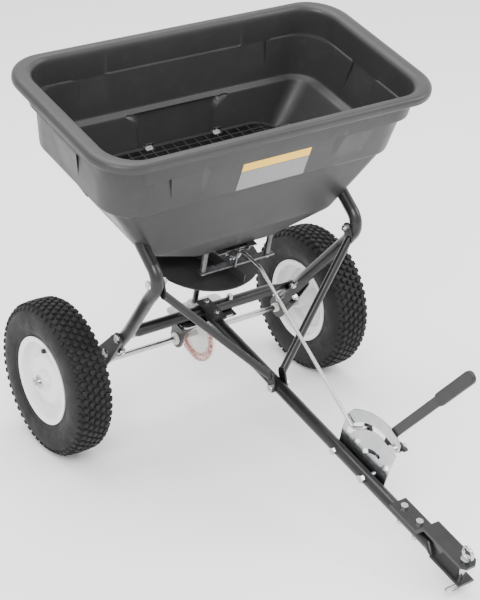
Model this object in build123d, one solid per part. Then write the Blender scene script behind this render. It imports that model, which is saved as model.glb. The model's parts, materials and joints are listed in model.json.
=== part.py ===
from build123d import *
import os
from math import cos, hypot, radians, sin

# Garden spreader: a tow-behind broadcast spreader. Millimetres, +Z up, hitch towards -Y,
# axle along X. Every piece is drawn on the level machine, with the axle centre line at
# y = 0 and z = wheel_radius. stand() then tips the whole machine nose-down about the
# axle until the hitch pin rests on the ground, and centres it over the origin.

# Wheels and axle
wheel_radius = 160.0
tyre_width = 84.0
wheel_x = 320.0
rim_radius = 91.5
rim_half_width = 34.0
hub_half_length = 37.0
valve_r = 77.0
axle_radius = 6.35
axle_end_x = 374.0
pin_x = 367.0
gear_pin_x = 37.0
running_gap = 0.05
nose_down = 14.65

# Hopper: each level is half width, half depth, corner radius and how far back its middle lies
lip_top = 781.0
lip_t = 18.0
lip_skin = 5.0
lip_level = (385.0, 202.0, 81.0, 12.0)
skirt_z = 721.0
skirt_level = (352.0, 169.0, 48.0, 12.0)
skirt_foot_level = (350.0, 167.0, 48.0, 12.0)
wall_top_level = (346.0, 163.0, 72.0, 12.0)
step_z = 642.0
step_level = (331.0, 148.0, 66.0, 12.0)
slope_z = 636.0
slope_level = (313.0, 139.0, 62.0, 11.0)
sump_z = 505.0
sump_level = (227.0, 122.0, 60.0, 6.0)
floor_z = 455.0
floor_level = (118.0, 94.0, 50.0, 0.0)
wall = 4.0
port_size = (36.0, 24.0)
port_y = -51.0

# Frame tubes: foot, lower bend, knee and the level run under the hopper
tube_r = 12.7
tube_wall = 1.65
foot_x = 216.0
top_x = 236.0
foot = (-26.0, 200.0)
knee = (-185.0, 498.0)
flare_z = (300.0, 440.0)     # the legs spread between these heights
saddle_start = (-70.0, 554.3)
saddle_end_y = 100.0
saddle_bolt_ys = (-30.0, 80.0)
knee_bolt = (-164.0, 484.0)

# Cross tube, tongue, braces and hitch
cross_bolt_z = 246.0
tongue_z = 253.0
tongue_rear_y = -51.0
tongue_front_y = -772.0
jaw_tip_y = -874.0
jaw_t = 6.0
strap_t = 6.0
strap_step_y = (-748.0, -762.0)
strap_rise = 20.0
hitch_pin_y = -857.0
hitch_pin_r = 6.35
hitch_pin_z = (219.95, 296.0)
brace_r = 8.0
brace_low = (-297.0, 262.0)
hitch_bolt_ys = (-690.0, -734.0)
tongue_strap_bolt_y = -76.0
plate_bolt = (-497.0, 253.0)

# Drive: a crown gear on the axle turns the pinion of the upright shaft
crown_teeth = 56
pinion_teeth = 14
gear_module = 2.0
crown_pitch_r = crown_teeth * gear_module / 2
pinion_pitch_r = pinion_teeth * gear_module / 2
tooth_w = 2.0
shaft_r = 6.35
shaft_z = (204.0, 500.0)
impeller_z = 365.0
impeller_r = 117.0
vane_angles = (133.0, 13.0, 253.0)
shaft_plate_z = (236.1, 240.1)
cheek_xs = (-34.0, 46.0)
cheek_t = 4.0
ear_bolt_x = 58.0

# Flow control, beside the tongue
plate_x = 13.0
plate_t = 3.0
pivot = (-585.0, 257.0)
slot_r = 94.5
slot_w = 13.0
lever_x = plate_x + plate_t + 1.0
lever_t = 5.0
lever_w = 19.0
lever_bend = (-600.0, 368.0)
lever_tip = (-730.0, 603.0)
rod_r = 3.5
rod_x = 8.0
rod_pin_r = 92.0
rod_pin_angle = -31.0
stop_angle = 19.2
gate_pin = (-100.0, 430.0)
gate_z = 449.5
gate_t = 2.5
gate_half_w = 26.0
gate_y = (-100.0, -64.0)
rail_z = 400.0
rail_y = -80.0
rail_x = (-50.0, 112.0)


# ---------------------------------------------------------------- common shapes
def fused(solids):
    """One solid from overlapping ones."""
    body = solids[0]
    for solid in solids[1:]:
        body = body + solid
    return body


def bar(start, direction, length, radius):
    """Round bar from a point along a direction."""
    low = (Align.CENTER, Align.CENTER, Align.MIN)
    return Plane(origin=start, z_dir=direction) * Cylinder(radius, length, align=low)


def hexagon(start, direction, flats, height):
    """Hexagonal prism from a point along a direction."""
    sketch = Plane(origin=start, z_dir=direction) * RegularPolygon(flats / 2, 6, major_radius=False)
    return extrude(sketch, height)


def block(x, y, z):
    """Box from its lowest and highest place on each axis."""
    middle = [(a + b) / 2 for a, b in (x, y, z)]
    return Pos(*middle) * Box(*[b - a for a, b in (x, y, z)])


def side_plate(outline, x, thickness):
    """Flat plate across X from an outline of (y, z) points."""
    return extrude(Plane.YZ.offset(x) * make_face(Polyline(*outline, close=True)), thickness)


def side_disc(center, radius, x, thickness):
    """Round plate across X about (y, z)."""
    return bar((x, *center), (1, 0, 0), thickness, radius)


def bent_bar(points, radii, radius):
    """Round bar along a polyline with one bend radius for each corner."""
    path = FilletPolyline(*points, radius=radii)
    return sweep(Plane(origin=path @ 0, z_dir=path % 0) * Circle(radius), path=path)


def at_angle(center, radius, angle):
    """Point (y, z) at an angle ahead of the vertical through a centre."""
    return (center[0] - radius * sin(radians(angle)), center[1] + radius * cos(radians(angle)))


def arc_band(center, radius, width, first, last, x, thickness):
    """Curved slot or strip about (y, z), with round ends."""
    steps = 16
    angles = [first + (last - first) * i / steps for i in range(steps + 1)]
    outline = [at_angle(center, radius + width / 2, a) for a in angles]
    outline += [at_angle(center, radius - width / 2, a) for a in reversed(angles)]
    ends = [side_disc(at_angle(center, radius, a), width / 2, x, thickness) for a in (first, last)]
    return fused([side_plate(outline, x, thickness)] + ends)


def reverse(direction):
    return tuple(-c for c in direction)


def bolt(start, direction, grip, radius=4.0, flats=13.0, tail=10.0):
    """Hex bolt with its head seated at start."""
    shank = bar(start, direction, grip + tail, radius)
    return shank + hexagon(start, reverse(direction), flats, radius * 1.3)


def carriage_bolt(start, direction, grip, radius=4.0, tail=10.0):
    """Round-headed bolt with its head seated at start."""
    head = bar(start, reverse(direction), radius, radius * 2.3)
    head = chamfer(head.edges().sort_by(Axis(start, reverse(direction)))[-1], radius * 0.6)
    return bar(start, direction, grip + tail, radius) + head


def nut(start, direction, radius=4.0, flats=13.0):
    """Hex nut from its seat along a direction."""
    return hexagon(start, direction, flats, radius * 1.7) - bar(start, direction, radius * 1.8, radius)


def group(solids):
    """Separate solids kept in one node."""
    return Compound(children=[part for solid in solids for part in solid.solids()])


# ---------------------------------------------------------------- hopper
def level(size, z, inset=0.0):
    """Rounded rectangle of the hopper at one height."""
    a, b, r, back = size
    return Pos(0, back, z) * RectangleRounded(2 * (a - inset), 2 * (b - inset), r - inset)


def tapered(lower, lower_z, upper, upper_z, inset=0.0):
    """Straight-sided solid between two levels."""
    return loft([level(lower, lower_z, inset), level(upper, upper_z, inset)], ruled=True)


def hopper_outside():
    return fused([
        tapered(floor_level, floor_z, sump_level, sump_z),
        tapered(sump_level, sump_z, slope_level, slope_z),
        tapered(slope_level, slope_z, step_level, step_z),
        tapered(step_level, step_z, wall_top_level, skirt_z),
        tapered(skirt_foot_level, skirt_z, skirt_level, lip_top - lip_skin),
    ])


def hopper_inside():
    """Room inside, one wall in from the outside and one wall above each ledge."""
    return fused([
        tapered(floor_level, floor_z + wall, sump_level, sump_z + wall / 2, wall),
        tapered(sump_level, sump_z + wall / 2, slope_level, slope_z + wall, wall),
        tapered(slope_level, slope_z + wall, step_level, step_z + wall, wall),
        tapered(step_level, step_z + wall, wall_top_level, skirt_z + wall, wall),
        tapered(skirt_foot_level, skirt_z + wall, skirt_level, lip_top + 1.0, wall),
    ])


def saddle_room(side, radius):
    """Room for the upper run of a frame tube, open downwards."""
    rise = (saddle_start[1] - knee[1]) / (saddle_start[0] - knee[0])
    front = (-240.0, saddle_start[1] + rise * (-240.0 - saddle_start[0]))
    rear = (saddle_end_y + 2.0, saddle_start[1])
    below = [(rear[0], rear[1] - 140.0), (front[0], front[1] - 140.0)]
    slot = side_plate([front, saddle_start, rear] + below, side * top_x - radius, 2 * radius)
    ridge = bent_bar([(side * top_x, *p) for p in (front, saddle_start, rear)], [60.0], radius)
    return slot + ridge


def hopper_shell():
    """Moulded hopper: rolled lip, tapered walls, sloping sump, and channels over the tubes."""
    under = lip_top - lip_t
    rim = extrude(level(lip_level, under), lip_t)
    rim = fillet(rim.edges().group_by(Axis.Z)[-1], 8.0)
    groove = extrude(level(lip_level, under - 1.0, lip_skin), lip_t - lip_skin + 1.0)
    rim -= groove - extrude(level(skirt_level, under - 2.0), lip_t)
    shell = hopper_outside() + rim - hopper_inside()
    for side in (-1, 1):
        housing = saddle_room(side, tube_r + wall)
        rear_cap = (saddle_end_y, saddle_end_y + 2.0 + wall)
        width = (side * top_x - tube_r - wall, side * top_x + tube_r + wall)
        housing += block(width, rear_cap, (saddle_start[1] - 100.0, saddle_start[1] + tube_r))
        shell += housing & hopper_outside()
    for side in (-1, 1):
        shell -= saddle_room(side, tube_r + 0.15)
        for y in saddle_bolt_ys:
            shell -= bar((side * top_x, y, saddle_start[1]), (0, 0, 1), 30, 4.3)
    shell -= bar((0, 0, floor_z - 1), (0, 0, 1), 10, 11.0)
    half = port_size[0] / 2
    port = (port_y - port_size[1] / 2, port_y + port_size[1] / 2)
    shell -= block((-half, half), port, (floor_z - 1, floor_z + 9))
    for x, y in guide_bolt_places() + rail_bolt_places():
        shell -= bar((x, y, floor_z - 1), (0, 0, 1), 10, 3.0)
    return shell


def grate_size():
    """Half width, half depth, height and middle of the screen, where it meets the sloping walls."""
    z = 566.0
    t = (z - sump_z) / (slope_z - sump_z)
    half_x = top_x - tube_r - wall - 5.0
    half_y = sump_level[1] + t * (slope_level[1] - sump_level[1]) - wall - 5.0
    return half_x, half_y, z, sump_level[3] + t * (slope_level[3] - sump_level[3])


def hopper_grate():
    """Screen over the sump: a rounded frame with bars both ways."""
    half_x, half_y, z, back = grate_size()
    outer = RectangleRounded(2 * half_x, 2 * half_y, 50)
    sketch = outer - RectangleRounded(2 * half_x - 16, 2 * half_y - 16, 42)
    for i in range(-4, 5):
        sketch += Pos(0, 24.0 * i) * Rectangle(2 * half_x - 12, 2.5) & outer
    for i in range(-7, 8):
        sketch += Pos(26.0 * i, 0) * Rectangle(2.5, 2 * half_y - 12) & outer
    return extrude(Pos(0, back, z) * sketch, 4.0)


def grate_clips():
    """Bent clips screwed to the rear and front walls over the screen's edge."""
    half_x, half_y, z, back = grate_size()
    clips = []
    for x in (-81.0, 81.0):
        for side in (-1, 1):
            y = back + side * (half_y - 8.0)
            foot_y = sorted((y - side * 8.0, y + side * 8.0))
            clip = block((x - 9, x + 9), foot_y, (z + 4.0, z + 6.0))
            post_y = sorted((y - side * 1.0, y + side * 1.0))
            clips.append(clip + block((x - 9, x + 9), post_y, (z + 5.0, z + 16.0)))
    return group(clips)


# ---------------------------------------------------------------- frame
def leg_y(z):
    """Centre line of a frame tube's lower leg: y at a height."""
    return foot[0] + (knee[0] - foot[0]) / (knee[1] - foot[1]) * (z - foot[1])


def leg_back():
    """Unit vector square to the leg, pointing back and up."""
    y, z = knee[1] - foot[1], foot[0] - knee[0]
    return (0.0, y / hypot(y, z), z / hypot(y, z))


def frame_path(side):
    return [
        (side * foot_x, *foot),
        (side * foot_x, leg_y(flare_z[0]), flare_z[0]),
        (side * top_x, leg_y(flare_z[1]), flare_z[1]),
        (side * top_x, *knee),
        (side * top_x, *saddle_start),
        (side * top_x, saddle_end_y, saddle_start[1]),
    ]


def axle_plate_bolts():
    """Centres (y, z) of the bolts between an axle plate and its leg."""
    return [(leg_y(z), z) for z in (216.0, 276.0)]


def frame_tube(side):
    """Bent tube from the axle plate, round the knee and back under the hopper."""
    radii = [200.0, 150.0, 34.0, 60.0]
    tube = bent_bar(frame_path(side), radii, tube_r) - bent_bar(frame_path(side), radii, tube_r - tube_wall)
    across = (1, 0, 0)
    tube -= bar((side * top_x - 20, *knee_bolt), across, 40, 4.0)
    for place in axle_plate_bolts():
        tube -= bar((side * foot_x - 20, *place), across, 40, 4.0)
    start = (side * foot_x, leg_y(cross_bolt_z) - 20 * leg_back()[1], cross_bolt_z - 20 * leg_back()[2])
    tube -= bar(start, leg_back(), 40, 4.0)
    for y in saddle_bolt_ys:
        tube -= bar((side * top_x, y, saddle_start[1] - 20), (0, 0, 1), 40, 4.0)
    return tube


def cross_center():
    """Centre (y, z) of the cross tube: its flattened ends lie behind the legs."""
    reach = tube_r + 2.0
    return (leg_y(cross_bolt_z) + reach * leg_back()[1], cross_bolt_z + reach * leg_back()[2])


def cross_tube():
    """Tube between the legs, with its ends pressed flat and bolted behind them."""
    y, z = cross_center()
    round_end = foot_x - 52.0
    flat_start = foot_x - 24.0
    tube = bar((-round_end, y, z), (1, 0, 0), 2 * round_end, tube_r)
    flat_face = Plane(origin=(0, y, z), x_dir=(0, -leg_back()[2], leg_back()[1]), z_dir=(1, 0, 0))
    for side in (-1, 1):
        start = flat_face.offset(side * round_end) * Circle(tube_r)
        end = flat_face.offset(side * (flat_start + 4)) * Ellipse(17, 2)
        tube += loft([start, end])
        tab = flat_face.offset(side * flat_start) * RectangleRounded(34, 4, 1.8)
        tube += extrude(tab, side * (foot_x + tube_r - 1.0 - flat_start))
    tube -= bar((-round_end, y, z), (1, 0, 0), 2 * round_end, tube_r - tube_wall)
    for side in (-1, 1):
        tube -= bar((side * foot_x, leg_y(cross_bolt_z), cross_bolt_z), leg_back(), 30, 4.0)
        tube -= bar((side * ear_bolt_x, y, z - 20), (0, 0, 1), 40, 4.0)
    return tube - bar((0, y, z - 20), (0, 0, 1), 40, 4.0)


def axle_plate(side):
    """Stamped plate that hangs the axle from a leg."""
    (y1, z1), (y2, z2) = axle_plate_bolts()
    x = foot_x + tube_r if side > 0 else -foot_x - tube_r - 4.0
    circles = [Pos(0, wheel_radius) * Circle(24), Pos(y1, z1) * Circle(19), Pos(y2, z2) * Circle(13)]
    sketch = make_hull(circles[0].edges() + circles[1].edges() + circles[2].edges())
    plate = extrude(Plane.YZ.offset(x) * sketch, 4.0)
    for place, radius in (((0, wheel_radius), 9.5), ((y1, z1), 4.0), ((y2, z2), 4.0)):
        plate -= side_disc(place, radius, x - 1, 6)
    return plate


def axle_bushing(side):
    """Flanged nylon bush in an axle plate."""
    inner = foot_x + tube_r
    body = bar((side * (inner - 8), 0, wheel_radius), (side, 0, 0), 16, 9.5)
    body += bar((side * (inner + 4), 0, wheel_radius), (side, 0, 0), 4, 15.0)
    return body - bar((side * (inner - 10), 0, wheel_radius), (side, 0, 0), 30, axle_radius + running_gap)


def tongue_tube():
    """Straight tongue with its front end pressed flat as the lower jaw."""
    length = tongue_rear_y - tongue_front_y
    tube = bar((0, tongue_rear_y, tongue_z), (0, -1, 0), length, tube_r)
    low = tongue_z - 5.0
    start = Plane(origin=(0, tongue_front_y, tongue_z), x_dir=(1, 0, 0), z_dir=(0, -1, 0))
    flat_y = tongue_front_y - 26.0
    end = Plane(origin=(0, flat_y, low), x_dir=(1, 0, 0), z_dir=(0, -1, 0))
    tube += loft([start * Circle(tube_r), end * Ellipse(18.5, jaw_t / 2)])
    tube += extrude(end.offset(-6) * RectangleRounded(37, jaw_t, 2.8), flat_y - jaw_tip_y + 6)
    tube -= bar((0, tongue_rear_y + 1, tongue_z), (0, -1, 0), length, tube_r - tube_wall)
    tube -= bar((0, hitch_pin_y, low - 10), (0, 0, 1), 20, hitch_pin_r + running_gap)
    for y in hitch_bolt_ys + (tongue_strap_bolt_y,):
        tube -= bar((0, y, tongue_z - 20), (0, 0, 1), 40, 4.0)
    for y, z, radius in ((brace_low[0], tongue_z, 4.0), (*plate_bolt, 4.0), (*pivot, 5.0)):
        tube -= bar((-20, y, z), (1, 0, 0), 40, radius)
    return tube



def tongue_strap():
    """Flat strap that ties the tongue to the cross tube from above."""
    top = tongue_z + tube_r
    strap = block((-15, 15), (-92, -22), (top, top + 4.0))
    strap -= bar((0, cross_center()[0], top - 1), (0, 0, 1), 8, 4.0)
    return strap - bar((0, tongue_strap_bolt_y, top - 1), (0, 0, 1), 8, 4.0)


def hitch_strap():
    """Stepped upper jaw, bolted on top of the tongue."""
    base = tongue_z + tube_r
    top = base + strap_rise
    y0, y1 = strap_step_y
    outline = [(-672, base), (-672, base + strap_t), (y0 + 2, base + strap_t), (y1 + 2, top + strap_t),
               (jaw_tip_y, top + strap_t), (jaw_tip_y, top), (y1 - 2, top), (y0 - 2, base)]
    strap = side_plate(outline, -19, 38)
    corners = strap.edges().filter_by(Axis.Z).group_by(Axis.Y)[0]
    strap = chamfer(corners, 10.0)
    strap -= bar((0, hitch_pin_y, top - 1), (0, 0, 1), 10, hitch_pin_r + running_gap)
    for y in hitch_bolt_ys:
        strap -= bar((0, y, base - 1), (0, 0, 1), 10, 4.0)
    return strap


def brace(side):
    """Stay from a knee down to the tongue, with flattened ends."""
    high = (side * (top_x - tube_r - 2.0), *knee_bolt)
    low = (side * (tube_r + 2.0), brace_low[0], tongue_z)
    span = hypot(high[1] - low[1], high[2] - low[2])
    lug_dir = ((low[1] - high[1]) / span, (low[2] - high[2]) / span)
    reach = 24.0
    start = (high[0], high[1] + lug_dir[0] * reach, high[2] + lug_dir[1] * reach)
    end = (low[0], low[1] - lug_dir[0] * reach, low[2] - lug_dir[1] * reach)
    run = [b - a for a, b in zip(start, end)]
    body = bar(start, run, hypot(*run), brace_r) + Pos(*start) * Sphere(brace_r) + Pos(*end) * Sphere(brace_r)
    for center, point, outward in ((high, start, side), (low, end, -side)):
        body += strip(center[1:], point[1:], 21.0, center[0] - 2.0, 4.0)
        body -= bar((center[0] + outward * 2.0, *point[1:]), (outward, 0, 0), 12, 40)
        body -= bar((center[0] - 10, *center[1:]), (1, 0, 0), 20, 4.0)
    return body


# ---------------------------------------------------------------- wheels and axle
def tyre(side):
    """Tyre carcass on the rim seat."""
    half = tyre_width / 2
    outline = [(rim_radius - 9, -rim_half_width + 5.5), (rim_radius - 9, rim_half_width - 5.5),
               (rim_radius + 3, rim_half_width - 2)]
    section = Polyline(*outline)
    section += ThreePointArc((rim_radius + 3, rim_half_width - 2), (rim_radius + 36, half),
                             (wheel_radius - 9, half - 7))
    section += ThreePointArc((wheel_radius - 9, half - 7), (wheel_radius, 0), (wheel_radius - 9, 7 - half))
    section += ThreePointArc((wheel_radius - 9, 7 - half), (rim_radius + 36, -half),
                             (rim_radius + 3, 2 - rim_half_width))
    section += Line((rim_radius + 3, 2 - rim_half_width), (rim_radius - 9, 5.5 - rim_half_width))
    face = make_face(section)
    face -= Pos(rim_radius + 26, 0) * RectangleRounded(56, 2 * rim_half_width - 12, 20)
    return wheel_turned(face, side)


def wheel_turned(face, side):
    """Ring from a section of (radius, distance outwards from the wheel's middle)."""
    plane = Plane(origin=(side * wheel_x, 0, wheel_radius), x_dir=(0, 0, 1), z_dir=(0, side, 0))
    return revolve(plane * face, Axis((side * wheel_x, 0, wheel_radius), (1, 0, 0)))


def rim(side):
    """Pressed steel rim: two flanges, a drop centre and a dished disc outside."""
    r, h, t = rim_radius, rim_half_width, 2.4
    seat = r - 9.0 - t
    outline = [
        (r, h + 2), (r, h + 2 - t), (seat + t, h - 2 - t), (seat + t, 14), (r - 22, 8), (r - 22, -8),
        (seat + t, -14), (seat + t, 2 + t - h), (r, t - h - 2), (r, -h - 2), (seat, -h), (seat, -15),
        (r - 22 - t, -9), (r - 22 - t, 5), (62, 10), (46, 24), (30, 26), (17, 22),
        (17, 22 + t), (30, 26 + t), (48, 24 + t), (64, 10 + t), (r - 22 - t, 9), (seat, 15), (seat, h),
    ]
    body = wheel_turned(make_face(Polyline(*outline, close=True)), side)
    hole = bar((side * (wheel_x - 40), 0, wheel_radius + valve_r), (side, 0, 0), 80, 4.9)
    return body - hole


def hub(side):
    """Hub tube welded through the rim's disc."""
    start = (side * (wheel_x - hub_half_length), 0, wheel_radius)
    body = bar(start, (side, 0, 0), 2 * hub_half_length, 17.0)
    return body - bar(start, (side, 0, 0), 2 * hub_half_length, 11.0)


def wheel_bushings(side):
    """Flanged bushes pressed into both ends of the hub."""
    bushes = []
    for end in (-1, 1):
        face = side * wheel_x + end * hub_half_length
        bush = bar((face, 0, wheel_radius), (-end, 0, 0), 18, 11.0)
        bush += bar((face, 0, wheel_radius), (end, 0, 0), 3, 15.0)
        bushes.append(bush - bar((face + end * 4, 0, wheel_radius), (-end, 0, 0), 30, axle_radius + running_gap))
    return group(bushes)


def valve_stem(side):
    """Rubber valve with its cap, through the rim's drop centre."""
    start = (side * (wheel_x + 6), 0, wheel_radius + valve_r)
    stem = bar(start, (side, 0, 0), 34, 4.0)
    return stem + bar((start[0] + side * 22, 0, start[2]), (side, 0, 0), 12, 4.8)


def axle():
    rod = bar((-axle_end_x, 0, wheel_radius), (1, 0, 0), 2 * axle_end_x, axle_radius)
    rod = chamfer(rod.edges().filter_by(GeomType.CIRCLE), 1.0)
    for side in (-1, 1):
        rod -= bar((side * pin_x, -10, wheel_radius), (0, 1, 0), 20, 2.0)
    return rod - bar((gear_pin_x, -20, wheel_radius), (0, 1, 0), 40, 2.5)



def axle_washers():
    """Washers between the hubs and the retaining pins."""
    start = wheel_x + hub_half_length + 3.3
    return group([bar((s * start, 0, wheel_radius), (s, 0, 0), 2, 13.0)
                  - bar((s * start, 0, wheel_radius), (s, 0, 0), 2, axle_radius) for s in (-1, 1)])


def axle_spacers():
    """Sleeves between the frame bushes and the hubs."""
    start = foot_x + tube_r + 8.3
    length = wheel_x - hub_half_length - 3.3 - start
    return group([bar((s * start, 0, wheel_radius), (s, 0, 0), length, 9.5)
                  - bar((s * start, 0, wheel_radius), (s, 0, 0), length, axle_radius) for s in (-1, 1)])


def axle_pins():
    """Cotter pins through the axle ends, with bent legs."""
    pins = []
    for side in (-1, 1):
        x = side * pin_x
        body = bar((x, -12, wheel_radius), (0, 1, 0), 26, 2.0)
        body += Plane(origin=(x, -14, wheel_radius), z_dir=(1, 0, 0)) * Torus(4.0, 1.6)
        pins.append(body)
    return group(pins)


# ---------------------------------------------------------------- drive
def crown_gear():
    """Face gear on the axle, with its teeth towards the upright shaft."""
    tip = pinion_pitch_r - 1.6
    root = tip + 4.6
    center = (0, wheel_radius)
    body = side_disc(center, 63.0, root, 7.0) - side_disc(center, 44.0, root - 1, 3.0)
    body += side_disc(center, 16.0, root, 27.5)
    for i in range(crown_teeth):
        tooth = block((tip, root + 1), (-tooth_w / 2, tooth_w / 2), (51.5, 60.5))
        turn = 360.0 / crown_teeth * (i + 0.5)
        body += Pos(0, 0, wheel_radius) * Rot(turn, 0, 0) * tooth
    body -= side_disc(center, axle_radius, root - 1, 40)
    return body - bar((gear_pin_x, -20, wheel_radius), (0, 1, 0), 40, 2.5)


def gear_pin():
    """Spring pin through the crown gear's hub and the axle."""
    return bar((gear_pin_x, -18, wheel_radius), (0, 1, 0), 36, 2.5)


def pinion():
    """Small gear on the foot of the upright shaft."""
    low = wheel_radius + crown_pitch_r - 4.0
    body = bar((0, 0, low), (0, 0, 1), 8, 11.2) + bar((0, 0, low - 6), (0, 0, 1), 20, 10.5)
    for i in range(pinion_teeth):
        tooth = block((10.5, 15.2), (-tooth_w / 2, tooth_w / 2), (low, low + 8))
        body += Rot(0, 0, 360.0 / pinion_teeth * i) * tooth
    return body - bar((0, 0, low - 7), (0, 0, 1), 30, shaft_r)


def upright_shaft():
    rod = bar((0, 0, shaft_z[0]), (0, 0, 1), shaft_z[1] - shaft_z[0], shaft_r)
    rod = chamfer(rod.edges().filter_by(GeomType.CIRCLE), 0.8)
    rod -= bar((-20, 0, impeller_z + 20), (1, 0, 0), 40, 2.0)
    return rod - agitator()


def impeller():
    """Spreading disc with a hub and three upright vanes."""
    body = bar((0, 0, impeller_z), (0, 0, 1), 3, impeller_r)
    body += bar((0, 0, impeller_z), (0, 0, 1), 28, 17.0)
    for angle in vane_angles:
        vane = block((14, impeller_r - 3), (-1.3, 1.3), (impeller_z + 1, impeller_z + 24))
        body += Rot(0, 0, angle - 90) * vane
    body -= bar((0, 0, impeller_z - 1), (0, 0, 1), 40, shaft_r)
    return body - bar((-20, 0, impeller_z + 20), (1, 0, 0), 40, 2.0)


def impeller_pin():
    return bar((-18.5, 0, impeller_z + 20), (1, 0, 0), 37, 2.0)


def agitator():
    """Bent wire through the top of the shaft that keeps the material moving."""
    z = 484.0
    return bent_bar([(-34, 10, z + 14), (-24, 4, z), (24, -4, z), (34, -10, z + 14)], [5, 5], 2.0)


def shaft_bushing(low, high, flange_z):
    """Flanged bush round the upright shaft."""
    body = bar((0, 0, low), (0, 0, 1), high - low, 11.0)
    body += bar((0, 0, flange_z), (0, 0, 1), 3, 16.0)
    return body - bar((0, 0, low - 1), (0, 0, 1), high - low + 8, shaft_r + running_gap)


def shaft_plate():
    """Plated sheet under the cross tube that carries the upright shaft's lower bush."""
    low, high = shaft_plate_z
    sketch = Pos(0, -23, low) * RectangleRounded(130, 74, 12)
    plate = extrude(sketch, high - low) - bar((0, 0, low - 1), (0, 0, 1), 8, 11.0)
    for side in (-1, 1):
        plate -= bar((side * ear_bolt_x, cross_center()[0], low - 1), (0, 0, 1), 8, 4.0)
    return plate - bar((0, cross_center()[0], low - 1), (0, 0, 1), 8, 4.0)


def gear_bracket(side):
    """Cheek beside the gears: an ear under the shaft plate and a bush hole for the axle."""
    high = shaft_plate_z[0]
    x = cheek_xs[0] if side < 0 else cheek_xs[1]
    outline = [(-58, high), (12, high), (20, 175), (20, wheel_radius), (-20, wheel_radius), (-24, 185)]
    cheek = side_plate(outline, x, cheek_t) + side_disc((0, wheel_radius), 20, x, cheek_t)
    ear = (-68, cheek_xs[0] + 1) if side < 0 else (cheek_xs[1] + 1, 68)
    cheek += block(ear, (-58, -16), (high - cheek_t, high))
    cheek -= side_disc((0, wheel_radius), 9.5, x - 1, cheek_t + 2)
    return cheek - bar((side * ear_bolt_x, cross_center()[0], high - 10), (0, 0, 1), 14, 4.0)


def centre_bushings():
    """Bushes in the two cheeks."""
    bushes = []
    for x in cheek_xs:
        bush = bar((x - 1, 0, wheel_radius), (1, 0, 0), cheek_t + 2, 9.5)
        flange_x = x - 4 if x < 0 else x + cheek_t
        bush += bar((flange_x, 0, wheel_radius), (1, 0, 0), 4, 13.0)
        bushes.append(bush - bar((x - 10, 0, wheel_radius), (1, 0, 0), 24, axle_radius + running_gap))
    return bushes


# ---------------------------------------------------------------- flow control
def control_plate():
    """Quadrant plate on the tongue's side, with the lever's slots."""
    outline = [(-480, 243), (-480, 289), (-484, 325), (-495, 346), (-514, 360), (-540, 374), (-566, 381),
               (-594, 383), (-618, 377), (-630, 364), (-627, 338), (-621, 299), (-618, 243)]
    plate = side_plate(outline, plate_x, plate_t)
    plate -= arc_band(pivot, slot_r, slot_w, -66, 24.5, plate_x - 1, plate_t + 2)
    plate -= arc_band(pivot, 46, 9, -52, 2, plate_x - 1, plate_t + 2)
    plate -= side_disc(pivot, 5.0, plate_x - 1, plate_t + 2)
    return plate - side_disc(plate_bolt, 4.0, plate_x - 1, plate_t + 2)


def strip(first, last, width, x, thickness):
    """Flat strip with round ends between two (y, z) points."""
    y, z = last[0] - first[0], last[1] - first[1]
    size = hypot(y, z)
    dy, dz = -z / size * width / 2, y / size * width / 2
    outline = [(first[0] + dy, first[1] + dz), (last[0] + dy, last[1] + dz),
               (last[0] - dy, last[1] - dz), (first[0] - dy, first[1] - dz)]
    ends = [side_disc(p, width / 2, x, thickness) for p in (first, last)]
    return fused([side_plate(outline, x, thickness)] + ends)


def control_lever():
    """Flat lever behind the plate, with an ear that drives the rod."""
    ear = at_angle(pivot, rod_pin_r, rod_pin_angle)
    body = strip(pivot, lever_bend, lever_w, lever_x, lever_t)
    body += strip(lever_bend, lever_tip, lever_w, lever_x, lever_t)
    body += strip(pivot, ear, lever_w, lever_x, lever_t)
    guide = at_angle(pivot, 46, -2.0)
    body += bar((plate_x - 1, *guide), (1, 0, 0), lever_x - plate_x + 2, 3.5)
    body -= side_disc(pivot, 5.0 + running_gap, lever_x - 1, lever_t + 2)
    return body - side_disc(ear, rod_r + running_gap, lever_x - 1, lever_t + 2)


def lever_grip():
    """Plastic sleeve over the lever's end."""
    y, z = lever_tip[0] - lever_bend[0], lever_tip[1] - lever_bend[1]
    size = hypot(y, z)
    start = (lever_tip[0] - 92 * y / size, lever_tip[1] - 92 * z / size)
    end = (lever_tip[0] + 6 * y / size, lever_tip[1] + 6 * z / size)
    body = strip(start, end, 25, lever_x - 2.5, lever_t + 5)
    body = fillet(body.edges().group_by(Axis.X)[0] + body.edges().group_by(Axis.X)[-1], 2.4)
    return body - control_lever()


def lever_pivot_bolt():
    """Long bolt through the tongue and the plate, on which the lever turns, with its lock nut."""
    far = lever_x + lever_t + 0.4
    body = bar((-tube_r, *pivot), (1, 0, 0), far + tube_r + 9.0, 5.0)
    body += hexagon((-tube_r, *pivot), (-1, 0, 0), 15.0, 6.0)
    body += bar((plate_x + plate_t, *pivot), (1, 0, 0), 0.8, 10.0)
    return body + hexagon((far, *pivot), (1, 0, 0), 15.0, 8.0)


def control_rod():
    """Long wire from the lever's ear up to the gate."""
    pin = at_angle(pivot, rod_pin_r, rod_pin_angle)
    rear = gate_pin
    path = [
        (lever_x + lever_t + 9, *pin), (rod_x, *pin), (rod_x, pin[0] + 26, pin[1] - 20),
        (rod_x, -172, 452), (rod_x, rear[0] - 6, rear[1] + 20), (rod_x, *rear), (-14, *rear),
    ]
    return bent_bar(path, [6, 9, 30, 9, 6], rod_r)


def stop_bolt():
    """Bolt and shouldered collar of the flow stop, in the slot's front end."""
    place = at_angle(pivot, slot_r, stop_angle)
    body = bar((plate_x - 4, *place), (1, 0, 0), 34, 4.0)
    body += bar((plate_x - 4, *place), (1, 0, 0), 4, 10.0)
    return body + bar((plate_x + plate_t, *place), (1, 0, 0), 7.0, 8.5)


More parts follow.
